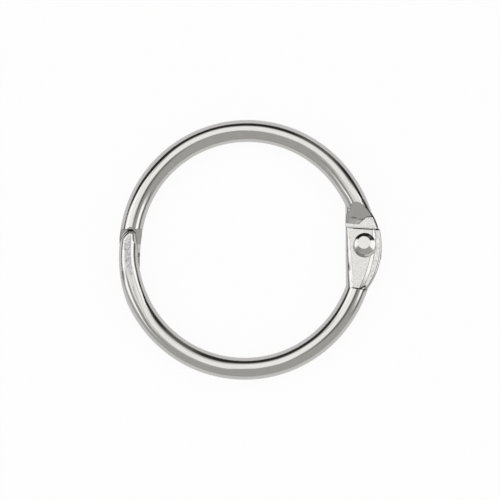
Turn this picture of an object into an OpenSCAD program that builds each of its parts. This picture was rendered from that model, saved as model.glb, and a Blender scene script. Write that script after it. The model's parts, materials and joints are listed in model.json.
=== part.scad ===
// Hinged snap ring for loose sheets: two half-round lengths of bright wire,
// riveted together at one end and hooked into each other at the other end.
// The ring lies in the XY plane, with the hinge at +X and the clasp at -X.
// Both halves come from one module: the rear one is the front one turned
// half a turn about the X axis, so each ear and each hook faces its mate.

/* [Ring and wire] */
// Inside diameter of the closed ring
inner_d = 38; // [34:0.5:50]
// Diameter of the round wire
wire_d = 3.94; // [3.8:0.02:4.2]
// Height of the ears' pressed flats above the mid-plane
press_z = 1.82; // [1.75:0.01:1.88]
// Front half: its arc's centre lies this far behind the origin
front_back = 1.03; // [0.6:0.01:1.4]
// Front half: its arc's centre lies this far on its own side of the clasp line
front_drop = 0.21; // [0:0.01:0.5]
// Rear half: its arc's centre lies this far behind the origin
rear_back = 0.5; // [0.2:0.01:0.9]
// Rear half: its arc's centre lies this far on its own side of the clasp line
rear_drop = 0.36; // [0:0.01:0.6]
// Radius of each wire near its ear, where it was bent less
root_r = 22; // [21:0.1:24]
// Where that part starts, round the ring from the clasp side
root_from = 312; // [305:1:325]

/* [Hinge ear] */
// Hinge axis, outward from the rear half's wire centreline
hinge_out = -0.06; // [-0.3:0.01:0.4]
// Straight inner edge of an ear, inward from the hinge axis
ear_in = 3.33; // [3.2:0.01:3.7]
// Lean of the two inner edges, outward on the front half's side
ear_lean = 2; // [1:0.1:3]
// Outer bulge of an ear, outward from the hinge axis
ear_out = 3.07; // [2.9:0.01:3.3]
// Radius of the outer bulge, seen from above
bulge_r = 13; // [12:0.1:16]
// Bulge's middle, across from the hinge axis towards the ear's end
bulge_shift = 0.3; // [0:0.05:0.6]
// Ear's end past the hinge axis, on the line through it
ear_end = 3; // [2.8:0.01:3.1]
// Slant of the ear's end
end_slant = 6; // [0:0.5:8]
// Largest reach of the ear's outer corner from the hinge axis
swing_r = 3.87; // [3.6:0.01:4]
// Rounding of the inner upper edge, level with the hinge axis
edge_r = 0.87; // [0.6:0.01:1.1]
// Length of ear over which that rounding would shrink to nothing
edge_run = 9.7; // [8:0.1:12]
// Rounding of the outer upper edge, on the ledge
ledge_r = 0.4; // [0.2:0.01:0.5]
// Rounding of the edges beyond the ramp, on the lap side
under_r = 0.95; // [0.6:0.01:1.1]
// Depth of the outer ledge below the pressed flat
ledge_drop = 0.45; // [0.2:0.01:0.6]
// Width of the bevel between the flat and the ledge
bevel_w = 0.62; // [0.4:0.01:0.9]
// Where the flat's curved outer edge passes the hinge axis
flat_out = 1.5; // [1.3:0.01:1.7]
// How far round the ring that curved edge is turned
flat_turn = 2.85; // [2.4:0.05:3.2]
// Shear line between flat and round wire, from the hinge axis
shear_y = 7.72; // [7.3:0.01:8]
// Slant of the shear line
shear_slant = 10; // [4:0.5:16]
// Slope of the step up to the round wire on the shear line
shear_slope = 36; // [25:1:50]
// Width of the chamfer on the ear's end
end_chamfer = 0.16; // [0.05:0.01:0.25]
// How far in from the rivet that chamfer starts
chamfer_in = 2.3; // [2:0.05:2.6]
// Slope of that chamfer
chamfer_slope = 35; // [30:1:50]
// Draft of the ear's end, out towards its foot
end_draft = 6; // [0:0.5:9]

/* [Ear lap] */
// Gap between the ramp's foot and the swing of the other ear
ramp_gap = 0.05; // [0.04:0.01:0.2]
// Slope of the ramp from the lap face up to the round wire
ramp_slope = 26.6; // [24:0.2:30]
// Slant of the ramp's foot
ramp_slant = 9; // [5:0.5:12]
// Outer end of the ramp's foot, inward from the hinge axis
foot_x = 1; // [0.6:0.01:1.4]
// Where the notch turns outward, from the hinge axis
notch_x = 0.57; // [0.4:0.01:0.8]
// Far edge of that notch, from the hinge axis
notch_y = 5.05; // [4.8:0.01:5.3]

/* [Rivet] */
// Diameter of the rivet's shank
rivet_d = 2.5; // [2.2:0.05:2.7]
// Clearance between shank and bore, on the radius
bore_gap = 0.03; // [0.02:0.01:0.06]
// Diameter of the closed head at its foot
head_d = 4.1; // [3.8:0.05:4.3]
// Diameter of the closed head's shoulder
rim_d = 3.84; // [3.6:0.02:4]
// Diameter of the closed head's flat top
head_flat = 2.25; // [2:0.05:2.5]
// Height of the closed head's shoulder
rim_h = 0.68; // [0.5:0.02:0.8]
// Height of the closed head, at the middle of its flat top
head_h = 1.06; // [1:0.02:1.2]
// Lean of the foot away from the ear's end
foot_off = 0.12; // [0:0.01:0.2]
// Lean of the shoulder towards the ear's end
rim_off = 0.28; // [0:0.01:0.35]
// Lean of the flat top towards the ear's end
flat_off = 0.5; // [0:0.01:0.55]
// Lean of the flat top towards the inside of the ring
flat_in = 0.14; // [0:0.01:0.25]
// Tilt of the flat top towards the inside of the ring
flat_tilt = 4.8; // [0:0.2:6]
// Height of the factory head on the underside
dome_h = 0.55; // [0.4:0.02:0.7]
// Play between each head and its ear
end_play = 0.02; // [0.01:0.01:0.05]

/* [Clasp hooks] */
// Half the height of the step that the two hooks share
hook_h = 0.28; // [0.2:0.01:0.4]
// Slope of the hook faces
hook_slope = 40; // [38:1:60]
// Length of the thin neck behind each hook
neck_l = 1.55; // [1.4:0.01:1.9]
// Tip of each nose past the clasp line
nose_l = 4.38; // [4.2:0.01:4.5]
// Gap between a nose and the shoulder that it points at
nose_gap = 0.24; // [0.2:0.01:0.4]
// Rise of the ramp under each nose
lap_rise = 1.2; // [1:0.02:1.3]
// Fall of the head's inner face from the hook to the ramp
head_fall = 0.17; // [0.1:0.01:0.2]
// Running gap between the lapped faces
lap_gap = 0.04; // [0.03:0.01:0.08]
// Nose's inner side, in from the slimmed wire
inner_in = 0.27; // [0.2:0.01:0.3]
// Lean of that side, seen from above
inner_lean = 3.5; // [3:0.1:4]
// Length of that side, up to the round end
inner_l = 4.5; // [4.3:0.05:4.6]
// Length of the nose's round end
end_l = 0.5; // [0.4:0.02:0.6]
// Radius of the nose's outer side, seen from above
outer_r = 4; // [3.8:0.1:4.4]
// Length of the nose's outer side
outer_l = 3.3; // [3.2:0.02:3.32]
// Where the nose's outer side starts, in from the slimmed wire
outer_in = 0.15; // [0.14:0.01:0.18]
// Rounding of the nose's upper edge
nose_edge_r = 0.8; // [0.6:0.05:0.95]
// Height of the nose's top
nose_top = 1.87; // [1.8:0.01:1.9]
// Rounding of the slimmed sides
slim_edge_r = 1.5; // [1.2:0.05:1.6]
// Radius of the hollow in the shoulder, at its foot
seat_r = 1.3; // [1.1:0.05:1.5]
// Height of the hollow's foot above the mid-plane
seat_z = 1.62; // [1.5:0.01:1.7]
// Slope of the hollow's side
seat_slope = 40; // [30:1:50]
// Far side of the hollow's foot, short of the shoulder
seat_short = 0.05; // [0:0.01:0.1]
// Slimming of the front tip, as an offset of its outer side
front_slim = 0.44; // [0.2:0.01:0.5]
// Slimming of the rear tip, as an offset of its inner side
rear_slim = 0.22; // [0.1:0.01:0.3]
// How much the rear tip is slimmed on the outer side
rear_slim_out = 0.12; // [0:0.01:0.3]
// Height of the pressed strip on top of each tip
strip_z = 1.905; // [1.85:0.005:1.92]
// Lean of that strip, down towards the inside of the ring
strip_lean = 3; // [0:0.5:5]
// Length of that strip past the clasp line, level part
strip_level = 1; // [0.5:0.1:2]
// Length of that strip past the clasp line, up to where it runs out
strip_l = 7; // [6:0.1:8]

/* [Hidden] */
$fn = 96;
bright = "#c9c7c3";
rivet_tone = "#bfbdb9";
wire_r = wire_d / 2;
arc_r = (inner_d + wire_d) / 2;
hinge_x = arc_r - rear_back + hinge_out;
ramp_y = swing_r + ramp_gap;
bore_d = rivet_d + 2 * bore_gap;
ledge_z = press_z - ledge_drop;
far = 4 * wire_d;
neck_z = hook_h + lap_gap / 2;
head_z = hook_h - lap_gap / 2;
shoulder_l = nose_l + nose_gap;
neck_end = neck_z / tan(hook_slope) + neck_l;
nose_z = head_fall + (lap_rise - neck_z) * 0.9;
strip_turn = 1;
edge_lift = 0.03;
slim_turn = 1.15;
slim_fat = 0.13;
under_drop = 0.2;
edge_poke = 0.006;
cap_h = 0.01;
end_reach = 0.8;
wire_from = 165;
wire_to = 354;
slim_from = 155;
slim_to = 300;

// Part of a bent wire, as a tube about its own arc's centre
module bent_wire(back, drop, radius, from, to, bend_r = arc_r) {
    translate([-back, -drop, 0])
        rotate_extrude(angle = to - from, start = from)
            translate([bend_r, 0])
                circle(r = radius);
}

// One whole bent wire before pressing: its main arc, and its wider root arc
module whole_wire(back, drop) {
    bent_wire(back, drop, wire_r, wire_from, root_from);
    translate((arc_r - root_r) * [cos(root_from), sin(root_from), 0])
        bent_wire(back, drop, wire_r, root_from, wire_to, root_r);
}

// What slims a tip on one side: past cross_y, all that lies outside a slightly
// larger and shifted shape. That shape is a ground disc on the outer side,
// and a fatter copy of the wire on the inner side
module slim_cut(back, drop, slim, side) {
    shift_x = side * (slim + slim_fat);
    shift_y = -side * slim_turn;
    disc_r = arc_r + wire_r + slim_fat;
    cross_y = -drop + shift_y / 2 + arc_r * shift_x / shift_y;
    difference() {
        translate([-back - arc_r - far, cross_y, -far])
            cube([2 * far, far + arc_r, 2 * far]);
        if (side > 0)
            translate([shift_x - back, shift_y - drop, 0])
                intersection() {
                    grinding_disc(disc_r, slim_edge_r, wire_r + edge_lift);
                    mirror([0, 0, 1])
                        grinding_disc(disc_r, slim_edge_r, wire_r + edge_lift);
                }
        else
            bent_wire(back - shift_x, drop - shift_y, wire_r + slim_fat,
                slim_from, slim_to);
    }
}

// Section of the ear's outer side, revolved about the bulge's centre
module bulge_section() {
    low = -under_r - under_drop;
    translate([bulge_r / 3, low])
        square([bulge_r * 2 / 3 - under_r, ledge_z + far - low]);
    translate([bulge_r - under_r - 0.01, low + under_r])
        square([under_r + 0.01, ledge_z - ledge_r - low - under_r]);
    translate([bulge_r - under_r - 0.01, low + under_r])
        square([under_r - ledge_r + 0.01, ledge_z - low - under_r]);
    translate([bulge_r - under_r, low + under_r])
        circle(r = under_r);
    translate([bulge_r - ledge_r, ledge_z - ledge_r])
        circle(r = ledge_r);
}

// Section of the ear's straight inner side, its upper edge still sharp
module inner_section() {
    low = -under_r - under_drop;
    translate([-ear_in + under_r, low])
        square([far, press_z - low]);
    translate([-ear_in, low + under_r])
        square([far, press_z - low - under_r]);
    translate([-ear_in + under_r, low + under_r])
        circle(r = under_r);
}

// What the rounding leaves of the inner upper edge: the space beside it, the
// space below it, and the cone that rounds it, wider away from the ear's end
module edge_space() {
    grow = edge_r / edge_run;
    side = sqrt(1 + 2 * grow * grow);
    turn = asin(grow / side);
    reach = edge_run + far;
    translate([-ear_in, edge_run, press_z]) {
        rotate([0, 0, atan(grow)])
            translate([0, -2 * reach, -2 * far])
                cube([2 * far, 4 * reach, 4 * far]);
        rotate([atan(grow), 0, 0])
            translate([-far, -2 * reach, -2 * far])
                cube([3 * far, 4 * reach, 2 * far]);
        rotate([0, 90 + turn, atan2(-1, grow)])
            cylinder(r1 = edge_poke, r2 = reach * tan(turn) + edge_poke, h = reach);
    }
}

// The pressed ear before its lap, bore and ledge are cut, hinge at the origin
module ear_blank(lean) {
    intersection() {
        translate([ear_out - bulge_r, bulge_shift, 0])
            rotate_extrude()
                bulge_section();
        rotate([0, 0, -lean])
            intersection() {
                translate([0, ear_end + 2 * end_reach, 0])
                    rotate([90, 0, 0])
                        linear_extrude(height = shear_y + ear_end + 3 * end_reach)
                            inner_section();
                edge_space();
            }
        rotate([0, 0, -end_slant])
            translate([0, ear_end, press_z])
                rotate([end_draft, 0, 0])
                    translate([-far, -2 * far, -far])
                        cube([2 * far, 2 * far, 2 * far]);
        union() {
            cylinder(r = swing_r, h = 2 * far, center = true);
            translate([-far, -far, -far])
                cube([far, 2 * far, 2 * far]);
            translate([-far, -2 * far, -far])
                cube([2 * far, 2 * far, 2 * far]);
        }
    }
}

// Everything above the ear's flat, bevel and ledge, up to the shear line
module press_cut() {
    intersection() {
        union() {
            translate([-far, -far, press_z])
                cube([2 * far, 2 * far, far]);
            translate([flat_out - arc_r, flat_turn, 0])
                rotate_extrude()
                    polygon([
                        [arc_r, press_z],
                        [arc_r + bevel_w, ledge_z],
                        [arc_r + far, ledge_z],
                        [arc_r + far, far],
                        [arc_r, far]
                    ]);
        }
        rotate([0, 0, -shear_slant])
            translate([0, -shear_y, press_z])
                rotate([-shear_slope, 0, 0])
                    translate([-far, -2 * far, 0])
                        cube([2 * far, 5 * far, 3 * far]);
    }
}

// Everything below the ear's lap face: the ramp up to the round wire, whose
// foot is slanted, and the notch that cuts the ramp back at its outer side
module lap_cut() {
    foot_y = sqrt(ramp_y * ramp_y - foot_x * foot_x);
    translate([-foot_x, -foot_y, 0])
        rotate([0, 0, ramp_slant])
            translate([-2 * far, 0, 0])
                rotate([90, 0, 90])
                    linear_extrude(height = 4 * far)
                        polygon([
                            [0, 0],
                            [2 * far, 0],
                            [2 * far, -far],
                            [-far / tan(ramp_slope), -far]
                        ]);
    translate([0, 0, -far])
        linear_extrude(height = far)
            polygon([
                [-foot_x, -foot_y],
                [notch_x, -notch_y],
                [far, -notch_y],
                [far, far],
                [-foot_x, far]
            ]);
}

// Chamfer along the ear's end, on the flat and on the ledge
module end_edge_cut() {
    rotate([0, 0, -end_slant])
        translate([-chamfer_in, ear_end - end_chamfer, press_z])
            rotate([-chamfer_slope, 0, 0])
                cube([2 * far, far, far]);
    difference() {
        rotate([0, 0, -end_slant])
            translate([0, ear_end - end_chamfer, ledge_z])
                rotate([-chamfer_slope, 0, 0])
                    cube([far, far, far]);
        translate([flat_out - arc_r, flat_turn, 0])
            cylinder(r = arc_r + bevel_w, h = 2 * far, center = true);
    }
}

// Space under a tip for the other half's tip: shoulder, ramp, neck and hook
module hook_cut() {
    slope = 1 / tan(hook_slope);
    play = lap_gap / 2;
    translate([-hinge_x - far, 0, 0])
        rotate([90, 0, 90])
            linear_extrude(height = 2 * far)
                polygon([
                    [-shoulder_l, -far],
                    [-shoulder_l, neck_z - lap_rise],
                    [-neck_end, neck_z],
                    [play - neck_z * slope, neck_z],
                    [play + head_z * slope, -head_z],
                    [neck_end, head_fall - head_z],
                    [nose_l, nose_z],
                    [nose_l, far],
                    [nose_l + far, far],
                    [nose_l + far, -far]
                ]);
}

// Hollow in the shoulder, opposite the other half's nose
module seat_cut(mate_x) {
    deep = wire_d - seat_z;
    translate([mate_x, -shoulder_l + seat_short + seat_r, -wire_d])
        cylinder(r1 = seat_r + deep / tan(seat_slope), r2 = seat_r, h = deep);
}

// Section with a rounded upper edge, out to x, as the tips' sides are ground
module ground_section(x, edge, top) {
    translate([0, -far])
        square([x - edge, far + top]);
    translate([0, -far])
        square([x, far + top - edge]);
    intersection() {
        translate([x - edge, top - edge])
            circle(r = edge);
        square([x, far]);
    }
}

module grinding_disc(radius, edge, top) {
    rotate_extrude()
        ground_section(radius, edge, top);
}

// How far a side of that radius comes in over that length
function sag(radius, long) = radius - sqrt(radius * radius - long * long);

// The nose's outer side, the two corners of its round end, and their middle
function outer_x(back, slim) = -back - arc_r - wire_r + slim + outer_in;
function left_x(back, slim) = outer_x(back, slim) + sag(outer_r, outer_l - end_l);
function right_x(back, slim) = -back - arc_r + wire_r - slim - inner_in;
function nose_x(back, slim_out, slim_in) =
    (left_x(back, slim_out) + right_x(back, slim_in)) / 2;

// What the nose's two sides and its round end leave standing
module nose_cut(back, slim_out, slim_in) {
    half_w = (right_x(back, slim_in) - left_x(back, slim_out)) / 2;
    end_r = (half_w * half_w + end_l * end_l) / (2 * end_l);
    difference() {
        translate([-hinge_x - far, nose_l - outer_l, -far])
            cube([2 * far, far, 3 * far]);
        translate([outer_x(back, slim_out) + outer_r, nose_l - outer_l, 0])
            grinding_disc(outer_r, nose_edge_r, nose_top);
    }
    difference() {
        translate([-hinge_x - far, nose_l - end_l, -far])
            cube([2 * far, far, 3 * far]);
        translate([nose_x(back, slim_out, slim_in), nose_l - end_r, 0])
            grinding_disc(end_r, nose_edge_r, nose_top);
    }
    translate([right_x(back, slim_in), nose_l - end_l, 0])
        rotate([0, 0, inner_lean])
            difference() {
                translate([-far, -inner_l, -far])
                    cube([2 * far, inner_l, 3 * far]);
                translate([-2 * far, far, 0])
                    rotate([90, 0, 0])
                        linear_extrude(height = 2 * far)
                            ground_section(2 * far, slim_edge_r, wire_r + edge_lift);
            }
    translate([-hinge_x - far, nose_l, -far])
        cube([2 * far, far, 3 * far]);
}

// Long shallow flat pressed on top of a tip, running out into the wire along
// the chord of its bend
module strip_cut(back) {
    run = strip_l - strip_level;
    lift = atan((wire_r - strip_z) / run);
    chord = asin((strip_level + strip_l) / 2 / arc_r) + strip_turn;
    translate([-back - arc_r, -strip_level, 0]) {
        rotate([0, strip_lean, 0])
            translate([-far, 0, strip_z])
                cube([2 * far, far, far]);
        rotate([0, 0, chord])
            rotate([0, strip_lean, 0])
                translate([-far, 0, strip_z])
                    rotate([-lift, 0, 0])
                        translate([0, -run * 1.4, 0])
                            cube([2 * far, run * 1.4, far]);
    }
}

// One half of the ring, with its ear and its nose on the upper side. Its tip
// can be slimmed on the outer side and on the inner side
module half(back, drop, slim_out, slim_in, lean, mate_x) {
    difference() {
        union() {
            difference() {
                whole_wire(back, drop);
                if (slim_out > 0)
                    slim_cut(back, drop, slim_out, 1);
                if (slim_in > 0)
                    slim_cut(back, drop, slim_in, -1);
            }
            translate([hinge_x, 0, 0])
                ear_blank(lean);
        }
        translate([hinge_x, 0, 0]) {
            press_cut();
            lap_cut();
            end_edge_cut();
            cylinder(d = bore_d, h = 2 * far, center = true);
        }
        hook_cut();
        seat_cut(mate_x);
        nose_cut(back, slim_out, slim_in);
        strip_cut(back);
    }
}

module front_half() {
    color(bright)
        half(front_back, front_drop, front_slim, 0, ear_lean,
            nose_x(rear_back, rear_slim_out, rear_slim));
}

module rear_half() {
    color(bright)
        rotate([180, 0, 0])
            half(rear_back, rear_drop, rear_slim_out, rear_slim, -ear_lean,
                nose_x(front_back, front_slim, 0));
}

module rivet() {
    seat = press_z + end_play;
    color(rivet_tone)
        translate([hinge_x, 0, 0]) {
            cylinder(d = rivet_d, h = 2 * seat, center = true);
            hull() {
                translate([0, -foot_off, seat])
                    cylinder(d = head_d, h = cap_h);
                translate([0, rim_off, seat + rim_h - cap_h])
                    cylinder(d = rim_d, h = cap_h);
                translate([-flat_in, flat_off, seat + head_h - cap_h])
                    rotate([0, -flat_tilt, 0])
                        cylinder(d = head_flat, h = cap_h);
            }
            translate([0, 0, -seat - dome_h])
                cylinder(d1 = head_flat, d2 = head_d, h = dome_h);
        }
}

rear_half();
front_half();
rivet();
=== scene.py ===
import json
import math

import bpy
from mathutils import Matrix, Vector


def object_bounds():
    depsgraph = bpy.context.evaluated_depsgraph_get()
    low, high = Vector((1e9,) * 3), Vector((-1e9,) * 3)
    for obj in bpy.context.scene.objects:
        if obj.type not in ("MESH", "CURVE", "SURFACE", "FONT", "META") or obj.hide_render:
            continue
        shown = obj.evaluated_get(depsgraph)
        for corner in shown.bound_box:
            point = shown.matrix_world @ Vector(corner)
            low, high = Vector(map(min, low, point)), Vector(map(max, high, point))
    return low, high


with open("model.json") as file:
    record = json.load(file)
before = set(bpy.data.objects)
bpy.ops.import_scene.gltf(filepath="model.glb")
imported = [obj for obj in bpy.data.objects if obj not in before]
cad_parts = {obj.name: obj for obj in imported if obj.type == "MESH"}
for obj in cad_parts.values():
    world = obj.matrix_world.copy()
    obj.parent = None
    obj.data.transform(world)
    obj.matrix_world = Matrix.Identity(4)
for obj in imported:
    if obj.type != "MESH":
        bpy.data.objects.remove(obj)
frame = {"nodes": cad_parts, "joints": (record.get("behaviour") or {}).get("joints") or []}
cad_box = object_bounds()

MM = 0.001

# the floor and the camera, in metres, with the lens and sensor in mm
FLOOR_Z = cad_box[0][2]     # the ring rests on the rivet's lower head
FLOOR_HALF = 2.0            # half the length of its sides
FRAME_WIDTH = 0.0894        # how much the camera sees at the ring
AIM = (-0.00005, 0.00002)   # where it looks straight down
ROLL = math.radians(-2.42)  # the ring lies turned a little in the frame
LENS = 250.0
SENSOR = 36.0
NEAREST, FURTHEST = 0.01, 20

# light levels, where 1 is white
ROOM = 0.56
PANEL = 1.38
PANEL_FALL = 0.12           # what it loses towards +X
SOFTBOX = 1.66
FLAG = 0.035
FLAG_END = 0.17
FLAG_DROP = 0.02
LEFT_GAP = 0.04
RIGHT_GAP = 0.05
SKIRTING = 0.27
SEAM = 0.8
STAND = 0.42
ARM = 0.44
CAMERA_FRONT = 0.12
FLOOR_SEEN = 0.94
FLOOR_MIRRORED = 0.45
FLOOR_COLOUR = (0.9, 0.9, 0.9, 1)
BRIGHT_TINT = (1, 1, 0.995)
DIM_TINT = (1, 0.985, 0.95)

# forms of the lights, in the z and v that Studio explains, and an angle
RIGHT_RISE = 0.13           # of the right softbox's lower edge, at its rear end
LEFT_RISE = 0.27            # of the left one's, over a short stretch
LEFT_DIP = 0.09             # and of the same edge, in its middle
FLAG_RISE = 0.1             # of the flag's top, near its left end
PANEL_EDGE = 0.06           # the panel's near edge, on the right
PANEL_EDGE_LEFT = -0.1
TONGUE_TURN = math.radians(25)

# the ring, in mm and degrees
HINGE_X = frame["joints"][0]["pos_m"][0] / MM
ARC_R = 20.97               # radius of each half's centreline
FRONT_MIDDLE = (-1.03, -0.21)
REAR_MIDDLE = (-0.5, 0.36)
FRONT, REAR = -1, 1         # which side of the X axis a half lies on
END_SLANT = 6               # of each ear's cut end
SHEAR_SLANT = 10            # of the line where its pressing starts

# the metal
METAL = (0.585, 0.579, 0.566)
GROUND_METAL = (0.585, 0.572, 0.583)
EDGE_R = 0.06               # rounding of the edges, in mm
EDGE_SHADE_R = 0.18               # width of the painted shade along them
CORNER_REACH = 0.4            # how near the faces of a corner are, for its painted shade and soil
WAVE_DEPTH = 0.03           # relief of the wire's waviness, in mm
LINE_DEPTH = 0.002          # of its drawing lines
GRAIN_DEPTH = 0.02          # and of what was pressed or ground flat
EAR_UPHILL = 0.055          # leans of the shading normal, in radians
RIVET_UPHILL = 0.085
UNDERSIDE_UPHILL = 0.035
BEVEL_LEAN = 0.14

# noises: the scale and the detail, or the scales across and along the wire
# and the detail
GRAIN = (3.4, 3)
CLOUD = (0.5, 2)
WAVES = (0.4, 0.14, 1)
LINES = (6, 0.35, 3)

# shade of clean metal, and how much the cloud and the lines change it
CLEAN_SHADE = 0.93
CLOUD_SHADE = 0.1
LINE_SHADE = 0.2

# roughness: the least of it, and what the lines or the grain add
DRAWN_ROUGH = (0.07, 0.06)
FLAT_ROUGH = (0.1, 0.1)
STRIP_ROUGH = (0.24, 0.2)
SOIL_ROUGH = 0.6
SOIL_COVER = 0.7            # how fully soil covers the metal's roughness

# how strongly the grain shows in the colour and in the relief of flat metal
SPECKLE = {"flat": 0.6, "strip": 1.1, "ledge": 0.7}
RELIEF = {"flat": 0.25, "strip": 0.75, "ledge": 0.35}

# how dark the marks are, where 1 is black, mostly painted shade and reflections,
# and how much of the painted edge shade shows on the rivet and inside the clasp
END_SHADOW_DARK = 0.6
SHEAR_DARK = 0.9
FLANK_DARK = 0.55
CLASP_DARK = 0.3
SHOULDER_REFLECTION_DARK = 0.88
RIM_SHADOW_DARK = 0.45
UNDERSIDE_DARK = 0.15
CORNER_SHADE_DARK = 0.85
RIVET_EDGE_SHADE = 0.6
CLASP_EDGE_SHADE = 0.4

# Where the bent wire isn't quite true: the face, the stretch from and to and
# the softness of its ends, in degrees along the half, and the degrees that
# the shading normal tips towards the middle of the ring.
FRONT_LEANS = (
    ("crown", -58, -8, 6, 7),
    ("crown", 10, 22, 5, 1.5),
    ("crown", 24, 48, 6, -1.5),
    ("inner", -84, -68, 4, -5),
    ("flat", -78, -58, 5, 9),
)
REAR_LEANS = (
    ("crown", -38, 2, 12, 2.7),
    ("crown", 12, 28, 6, -1.7),
    ("crown", 52, 66, 7, -5),
    ("outer", -8, 48, 8, -2.5),
    ("outer", -52, -38, 5, -3),
    ("inner", 64, 80, 3, 8),
)


class Value:
    """The output of a node. Where it is a single number, arithmetic on it
    adds Math nodes."""

    def __init__(self, graph, socket):
        self.graph = graph
        self.socket = socket

    def __add__(self, other):
        return self.graph.math("ADD", self, other)

    def __sub__(self, other):
        return self.graph.math("SUBTRACT", self, other)

    def __rsub__(self, other):
        return self.graph.math("SUBTRACT", other, self)

    def __mul__(self, other):
        return self.graph.math("MULTIPLY", self, other)

    def __truediv__(self, other):
        return self.graph.math("DIVIDE", self, other)

    def __neg__(self):
        return self * -1

    def __abs__(self):
        return self.graph.math("ABSOLUTE", self)

    __radd__ = __add__
    __rmul__ = __mul__


class Graph:
    """Short calls for building a node tree. Masks run from 0 to 1."""

    def __init__(self, tree):
        self.tree = tree
        self.tree.nodes.clear()

    def node(self, kind, inputs, **settings):
        """A new node, with its settings and with its inputs by name or number."""
        node = self.tree.nodes.new("ShaderNode" + kind)
        for name, value in settings.items():
            setattr(node, name, value)
        for key, value in inputs.items():
            self.put(node.inputs[key], value)
        return node

    def add(self, kind, inputs=None, output=0, **settings):
        """The same, giving one of its outputs."""
        node = self.node(kind, inputs or {}, **settings)
        return Value(self, node.outputs[output])

    def put(self, socket, value):
        if isinstance(value, Value):
            self.tree.links.new(value.socket, socket)
        else:
            socket.default_value = value

    def math(self, operation, *terms):
        return self.add("Math", dict(enumerate(terms)), operation=operation)

    def clamp(self, value):
        return self.add("Clamp", {"Value": value})

    def maximum(self, first, *others):
        for other in others:
            first = self.math("MAXIMUM", first, other)
        return first

    def lerp(self, first, second, share):
        return first + (second - first) * share

    def distance(self, x, y):
        return self.math("SQRT", x * x + y * y)

    def step(self, value, low, high):
        """0 at low and 1 at high, smooth between and level beyond. It falls
        where high is the smaller."""
        inputs = {"Value": value, "From Min": low, "From Max": high}
        return self.add("MapRange", inputs, "Result", interpolation_type="SMOOTHSTEP")

    def band(self, value, low, high, soft):
        """1 from low to high, with soft edges."""
        rise = self.step(value, low - soft, low + soft)
        return rise * self.step(value, high + soft, high - soft)

    def where(self, **spans):
        """A mask from named coordinates: (low, high) is a step over that one,
        (low, high, soft) a band, and all of them have to hold."""
        masks = []
        for name, span in spans.items():
            kind = self.step if len(span) == 2 else self.band
            masks.append(kind(getattr(self, name), *span))
        return math.prod(masks)

    def axes(self, vector):
        node = self.node("SeparateXYZ", {0: vector})
        return [Value(self, socket) for socket in node.outputs]

    def vector(self, x, y, z):
        return self.add("CombineXYZ", {0: x, 1: y, 2: z})

    def noise(self, vector, scale, detail):
        inputs = {"Vector": vector, "Scale": scale, "Detail": detail}
        return self.add("TexNoise", inputs, "Fac")

    def bump(self, normal, height, depth, strength=1):
        """The normal over a relief of this depth in mm."""
        inputs = {"Normal": normal, "Height": height, "Distance": depth * MM, "Strength": strength}
        return self.add("Bump", inputs)

    def mix(self, first, second, share):
        """From one colour to another."""
        node = self.node("Mix", {"Factor": share}, data_type="RGBA")
        ends = [socket for socket in node.inputs if socket.type == "RGBA"]
        for socket, colour in zip(ends, (first, second)):
            self.put(socket, (*colour, 1))
        return Value(self, [socket for socket in node.outputs if socket.type == "RGBA"][0])


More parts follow.
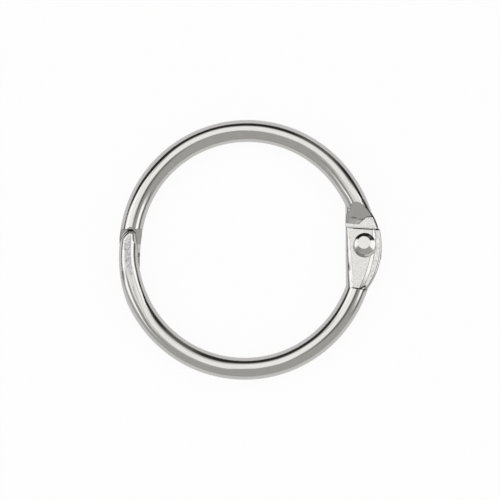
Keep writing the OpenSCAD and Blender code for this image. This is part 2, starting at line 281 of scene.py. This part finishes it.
class Studio(Graph):
    """The light, as one level for each direction: a large panel overhead with
    its near edge above the ring, a softbox on each side, a black flag behind
    the panel, dark gaps and a seam beside them, the camera and a grey room.
    z is a direction's height, u and v are where it meets a ceiling 1 above,
    and turn and turn_left are its bearings in degrees from +X and from -X.
    z_right and z_left are z less the rise of each softbox's lower edge."""

    def __init__(self):
        world = bpy.data.worlds.new("studio")
        bpy.context.scene.world = world
        world.use_nodes = True
        super().__init__(world.node_tree)
        self.x, self.y, self.z = self.axes(self.add("TexCoord", output="Generated"))
        # kept above 0, so that u and v are finite
        up = self.maximum(self.z, 0.02)
        self.u = self.x / up
        self.v = self.y / up
        self.turn = self.bearing(self.x)
        self.turn_left = self.bearing(-self.x)
        self.z_right = self.z - self.where(turn=(19, 26)) * RIGHT_RISE
        self.z_left = self.z - self.where(turn_left=(-11, -2.5, 2.5)) * LEFT_RISE
        self.level = ROOM

    def bearing(self, x):
        return self.math("DEGREES", self.math("ARCTAN2", self.y, x))

    def paint(self, level, mask):
        self.level = self.lerp(self.level, level, mask)

    def camera(self):
        """The camera, its stand and its arm, beside the panel's near edge."""
        self.paint(STAND, self.where(u=(0.2, 0.5, 0.08), v=(-0.3, -0.1, 0.05)))
        self.paint(ARM, self.where(u=(-0.75, -0.33, 0.1), v=(-0.45, -0.14, 0.06)))
        off = self.distance(self.u - 0.17, self.v + 0.12)
        self.paint(CAMERA_FRONT, self.step(off, 0.14, 0.04))

    def panel(self):
        """The panel, whose near edge comes lower on the left, and a tongue of
        it that reaches back nearly to the zenith, TONGUE_TURN from +X."""
        edge = self.lerp(PANEL_EDGE, PANEL_EDGE_LEFT, self.where(u=(0.02, -0.12)))
        panel = self.step(self.v - edge, -0.035, 0.035) * self.where(z=(0.3, 0.4))
        sine, cosine = math.sin(TONGUE_TURN), math.cos(TONGUE_TURN)
        ahead = self.u * cosine + self.v * sine
        aside = self.v * cosine - self.u * sine
        tongue = self.band(ahead, 0.035, 0.12, 0.015) * self.band(aside, -0.03, 0.03, 0.01)
        self.paint(PANEL - self.x * PANEL_FALL, self.maximum(panel, tongue))

    def flag(self):
        """The flag, softly lit along its top, greyer near its right end, and
        lower where it ends."""
        top = self.z - self.where(turn=(128, 145, 8)) * FLAG_RISE
        flag = self.where(z=(-0.12, 0.06), turn=(28, 158, 5)) * self.step(top, 0.8, 0.43)
        self.paint(self.lerp(FLAG, FLAG_END, self.where(turn=(42, 62, 5))), flag)
        self.paint(FLAG_DROP, self.where(z=(-0.24, -0.12), z_right=(0.39, 0.3), turn=(9, 31, 4)))

    def gaps(self):
        """Dark gaps and a darker skirting under the softboxes."""
        self.paint(LEFT_GAP, self.where(z_left=(-0.1, 0.17, 0.03), turn_left=(-9, 30, 4)))
        self.paint(RIGHT_GAP, self.where(z=(-0.1, 0.2, 0.04), turn=(-12, 10, 4)))
        self.paint(SKIRTING, self.where(z=(-0.15, 0.35, 0.05), turn=(-32, -10, 5)))

    def softboxes(self):
        """The softboxes, and the grey seam between the right one and the panel."""
        left = self.where(u=(-0.7, -0.95), v=(-0.75, 1, 0.25))
        lowered = self.z_left + self.where(turn_left=(-8, 8, 4)) * LEFT_DIP
        self.paint(SOFTBOX, left * self.step(lowered, 0.28, 0.44))
        self.paint(SOFTBOX, self.where(z_right=(0.34, 0.42), z=(0.79, 0.71), turn=(-28, 26, 5)))
        self.paint(SEAM, self.where(z=(0.72, 0.79, 0.03), turn=(8, 24, 4)))

    def light(self):
        """Each thing covers what was painted before it. Only the camera sees
        plain white."""
        self.camera()
        self.panel()
        self.flag()
        self.gaps()
        self.softboxes()
        tint = self.mix(DIM_TINT, BRIGHT_TINT, self.step(self.level, ROOM, PANEL))
        strength = self.lerp(self.level, 1, self.add("LightPath", output="Is Camera Ray"))
        light = self.add("Background", {"Color": tint, "Strength": strength})
        self.node("OutputWorld", {"Surface": light})


class Surface(Graph):
    """The node tree of a new material."""

    def __init__(self, name):
        self.material = bpy.data.materials.new(name)
        self.material.use_nodes = True
        super().__init__(self.material.node_tree)

    def show(self, shader):
        self.node("OutputMaterial", {"Surface": shader})
        return self.material


class Plate(Surface):
    """Bright nickel plate. x, y and z are places on the piece in mm, dx, dy
    and reach are measured from its middle, and facing_z is 1 on level faces.
    Each kind of piece adds out and run, its directions across and along,
    marks(), how dark its lines are, most of them painted shade and reflections,
    and lean(), which tips its normals."""

    def __init__(self, name, middle):
        super().__init__(name)
        metres = self.add("TexCoord", output="Object")
        self.place = self.add("VectorMath", {0: metres, "Scale": 1 / MM}, operation="SCALE")
        self.x, self.y, self.z = self.axes(self.place)
        self.dx = self.x - middle[0]
        self.dy = self.y - middle[1]
        self.reach = self.distance(self.dx, self.dy)
        self.high = abs(self.z)
        self.facing_x, _, facing_z = self.axes(self.add("TexCoord", output="Normal"))
        self.facing_z = abs(facing_z)
        # what was pressed or ground flat, and of that the long strip on each
        # tip and the ledge outside each ear's bevel
        self.flat = self.where(facing_z=(0.985, 0.996), high=(1.95, 1.92))
        self.strip = self.flat * self.where(x=(-16, -18), high=(1.7, 1.8))
        self.ledge = self.flat * self.where(x=(21, 21.5), high=(1.5, 1.42))
        self.grain = self.noise(self.place, *GRAIN)

    def painted_edge_shade(self):
        """A fine broken dark line of painted shade on each edge at the hinge and the clasp."""
        rounded = self.add("Bevel", {"Radius": EDGE_SHADE_R * MM}, samples=8)
        normals = {0: rounded, 1: self.add("NewGeometry", output="Normal")}
        alike = self.add("VectorMath", normals, "Value", operation="DOT_PRODUCT")
        edge = self.step(alike, 0.998, 0.985) * self.step(abs(self.x), 14.5, 16)
        broken = self.lerp(0.35, 0.8, self.where(grain=(0.4, 0.55)))
        outer = self.lerp(1, 1.6, self.where(x=(21.6, 22.2)))
        return self.clamp(edge * broken * outer)

    def weighed(self, amounts):
        """The sum of some masks, each times its amount."""
        return sum(getattr(self, mask) * amount for mask, amount in amounts.items())

    def more(self, amounts, noise):
        """The least amount, and more with the noise."""
        least, added = amounts
        return least + noise * added

    def drawn(self, across, along, detail):
        """Noise drawn out along the wire."""
        stretched = self.vector(self.out * across, self.z * across, self.run * along)
        return self.noise(stretched, 1, detail)

    def finish(self):
        """The finished material."""
        waves = self.drawn(*WAVES)
        lines = self.drawn(*LINES)
        # painted shade in the corners and gaps, which are also rougher with soil
        openness = self.add("AmbientOcclusion", {"Distance": CORNER_REACH * MM}, "AO", samples=6)
        corner_shade_and_soil = self.step(openness, 0.65, 0.15)
        shader = self.add("BsdfPrincipled", {
            "Metallic": 1,
            "Base Color": self.colour(lines, corner_shade_and_soil),
            "Roughness": self.roughness(lines, corner_shade_and_soil),
            "Normal": self.normal(waves, lines),
        })
        return self.show(shader)

    def colour(self, lines, corner_shade_and_soil):
        """Clouded, lined and speckled, darker by painted shade in corners and gaps, and darker in
        its marks.
        """
        cloud = self.noise(self.place, *CLOUD)
        speckle = (self.grain - 0.5) * self.weighed(SPECKLE)
        shade = CLEAN_SHADE + cloud * CLOUD_SHADE + (lines - 0.5) * LINE_SHADE + speckle
        # painted shade in corners and gaps, and then the marks, most of them painted shade and
        # reflections
        shade = shade * (1 - corner_shade_and_soil * CORNER_SHADE_DARK) * (1 - self.marks())
        metal = self.mix(METAL, GROUND_METAL, self.strip)
        return self.add("VectorMath", {0: metal, "Scale": shade}, operation="SCALE")

    def roughness(self, lines, corner_shade_and_soil):
        """Smooth where it was drawn, and rougher where it was pressed, ground
        or soiled."""
        rough = self.more(DRAWN_ROUGH, lines)
        rough = self.lerp(rough, self.more(FLAT_ROUGH, self.grain), self.flat)
        rough = self.lerp(rough, self.more(STRIP_ROUGH, self.grain), self.strip)
        return self.lerp(rough, SOIL_ROUGH, corner_shade_and_soil * SOIL_COVER)

    def normal(self, waves, lines):
        """Rounds the edges, tips with the lean, and follows the reliefs."""
        rounded = self.add("Bevel", {"Radius": EDGE_R * MM}, samples=4)
        lean = self.add("VectorTransform", {0: self.lean()}, vector_type="VECTOR",
                        convert_from="OBJECT", convert_to="WORLD")
        leant = self.add("VectorMath", {0: rounded, 1: lean}, operation="ADD")
        wavy = self.bump(leant, waves, WAVE_DEPTH)
        lined = self.bump(wavy, lines, LINE_DEPTH)
        return self.bump(lined, self.grain, GRAIN_DEPTH, self.weighed(RELIEF))


class Half(Plate):
    """Wire drawn, bent to an arc, pressed to an ear and ground at its tip. out
    is how far a place is outside the arc and run how far along it, and along
    is the same in degrees, from the half's middle towards the hinge. The rear
    half is the front half turned over, and mated_y and mated_z are y and z
    turned with it."""

    def __init__(self, name, middle, side, leans):
        super().__init__(name, middle)
        self.side = side
        self.leans = leans
        angle = self.math("ARCTAN2", self.dx, self.dy * side)
        self.out = self.reach - ARC_R
        self.run = angle * ARC_R
        self.along = self.math("DEGREES", angle)
        self.mated_y = self.y * -side
        self.mated_z = self.z * -side

    def marks(self):
        """The edges' painted shade, lighter on the inner side of the clasp, with the
        painted shadow at the ear's cut end, the ragged shear line, painted shade on the ear's
        outer flank, and a painted dark reflection along the clasp on the front half and beside the
        rear shoulder on the rear half."""
        inner_side = self.where(x=(-14, -15), out=(0.2, -0.1))
        # painted shade along the edges, fainter on the clasp's inner side
        edge_shade = self.painted_edge_shade() * self.lerp(1, CLASP_EDGE_SHADE, inner_side)
        own = self.clasp_reflection() if self.side == FRONT else self.shoulder_reflection()
        return self.maximum(edge_shade, self.end_shadow(), self.shear_line(), self.flank_shade(), own)

    def slanted(self, slant):
        """How far a place is from the hinge, across a line with this slant."""
        slant = math.radians(slant)
        return (self.x - HINGE_X) * math.sin(slant) + self.mated_y * math.cos(slant)

    def end_shadow(self):
        """The painted shadow along the ear's cut end."""
        line = self.band(self.slanted(END_SLANT), 2.86, 3.03, 0.02)
        return line * self.where(x=(17.3, 17.9), mated_z=(0.2, 0.4)) * END_SHADOW_DARK

    def shear_line(self):
        """The ragged line at the ear's other end, where it was pressed."""
        ragged = self.slanted(SHEAR_SLANT) + (self.grain - 0.5) * 0.35
        line = self.band(ragged, -7.9, -7.7, 0.03)
        return line * self.where(x=(17.6, 18), mated_z=(1.1, 1.3)) * SHEAR_DARK

    def flank_shade(self):
        """Painted shade on the ear's outer flank, darker than its bevel."""
        flank = self.where(facing_z=(0.7, 0.55), facing_x=(0.25, 0.4))
        ear = self.where(x=(18.5, 19.5), mated_y=(-6, 4.4, 0.5), mated_z=(-0.9, -0.5))
        return flank * ear * FLANK_DARK

    def clasp_reflection(self):
        """A faint dark reflection painted along the clasp."""
        return self.where(out=(0.32, 0.6, 0.06), along=(-84, -74, 4), x=(-12, -14)) * CLASP_DARK

    def shoulder_reflection(self):
        """A painted dark reflection beside the rear shoulder, which bends away from the
        wire's middle as it runs down, and then follows the ear's edge."""
        down = 7.6 - self.y
        bent = 1.38 + down * (0.13 + down * 0.07)
        straight = 1.83 + down * 0.16
        off = self.out - self.math("MINIMUM", bent, straight)
        off = off * self.lerp(1, 0.5, self.where(y=(5.8, 7)))
        line = self.band(off, -0.15, 0.13, 0.06)
        return line * self.where(x=(17, 18), y=(3, 8.1, 0.3), z=(-0.4, 0)) * SHOULDER_REFLECTION_DARK

    def lean(self):
        """The wire leans with its bends, the bevel is flatter than its edges,
        and the pressed ear lies a little uphill."""
        faces = {
            # down to 0 where the wire's side slopes 45 degrees
            "crown": self.clamp(self.facing_z * self.facing_z * 2 - 1),
            "flat": self.flat,
            "outer": self.where(out=(0.5, 1)),
            "inner": self.where(out=(-0.5, -1)),
        }
        bevel = self.where(facing_x=(0.45, 0.5), facing_z=(0.775, 0.85, 0.01))
        bevel = bevel * self.where(x=(14, 16), mated_y=(-7.9, 2.9, 0.1))
        inward = bevel * BEVEL_LEAN
        for face, start, end, soft, degrees in self.leans:
            stretch = self.band(self.along, start, end, soft)
            inward = inward + stretch * faces[face] * math.radians(degrees)
        uphill = self.flat * self.where(x=(14, 16)) * EAR_UPHILL
        lean_x = self.dx / self.reach * -inward
        lean_y = self.dy / self.reach * -inward + uphill
        return self.vector(lean_x, lean_y, 0)


class Rivet(Plate):
    """The rivet. Its out and run are x and y from its axis."""

    def __init__(self, name, middle):
        super().__init__(name, middle)
        self.out, self.run = self.dx, self.dy

    def marks(self):
        """Its faint painted edge shade, a painted shadow around its head's rim,
        darker towards the ear's end and the inside of the ring, and the undersides of its heads,
        which are flat."""
        # a painted shadow around the head's rim
        rim_shadow = self.where(reach=(1.74, 1.86)) * self.step(self.dy - self.dx, -1.2, 1.2)
        edge_shade = self.painted_edge_shade() * RIVET_EDGE_SHADE
        return self.maximum(edge_shade, rim_shadow * RIM_SHADOW_DARK, self.flat * UNDERSIDE_DARK)

    def lean(self):
        """Its heads lie a little uphill, and their undersides less."""
        return self.vector(0, self.lerp(RIVET_UPHILL, UNDERSIDE_UPHILL, self.flat), 0)


def floor():
    """A pale floor that keeps the ring's shadow. It looks nearly white to the
    camera, and grey in the ring's reflections."""
    signs = ((-1, -1), (1, -1), (1, 1), (-1, 1))
    corners = [(x * FLOOR_HALF, y * FLOOR_HALF, FLOOR_Z) for x, y in signs]
    mesh = bpy.data.meshes.new("floor")
    mesh.from_pydata(corners, [], [(0, 1, 2, 3)])
    surface = Surface("floor_white")
    seen = surface.maximum(surface.add("LightPath", output="Is Camera Ray"),
                        surface.add("LightPath", output="Is Transmission Ray"))
    mirrored = surface.add("LightPath", output="Is Glossy Ray")
    share = surface.maximum(seen * FLOOR_SEEN, mirrored * FLOOR_MIRRORED)
    diffuse = surface.add("BsdfDiffuse", {"Color": FLOOR_COLOUR})
    shader = surface.add("MixShader", {0: share, 1: diffuse, 2: surface.add("Emission")})
    mesh.materials.append(surface.show(shader))
    plane = bpy.data.objects.new("floor", mesh)
    bpy.context.scene.collection.objects.link(plane)


def camera():
    """A long lens straight above the ring."""
    optics = bpy.data.cameras.new("camera")
    optics.lens = LENS
    optics.sensor_width = SENSOR
    optics.clip_start = NEAREST
    optics.clip_end = FURTHEST
    eye = bpy.data.objects.new("camera", optics)
    eye.location = (*AIM, FRAME_WIDTH * LENS / SENSOR)
    eye.rotation_euler = (0, 0, ROLL)
    bpy.context.scene.collection.objects.link(eye)
    bpy.context.scene.camera = eye


Studio().light()
floor()
camera()
bpy.context.scene.view_settings.view_transform = "Standard"

finishes = {
    "front_half": Half("front_wire", FRONT_MIDDLE, FRONT, FRONT_LEANS).finish(),
    "rear_half": Half("rear_wire", REAR_MIDDLE, REAR, REAR_LEANS).finish(),
    "rivet": Rivet("rivet_metal", (HINGE_X, 0)).finish(),
}
for name, obj in frame["nodes"].items():
    obj.data.materials.clear()
    obj.data.materials.append(finishes[name])
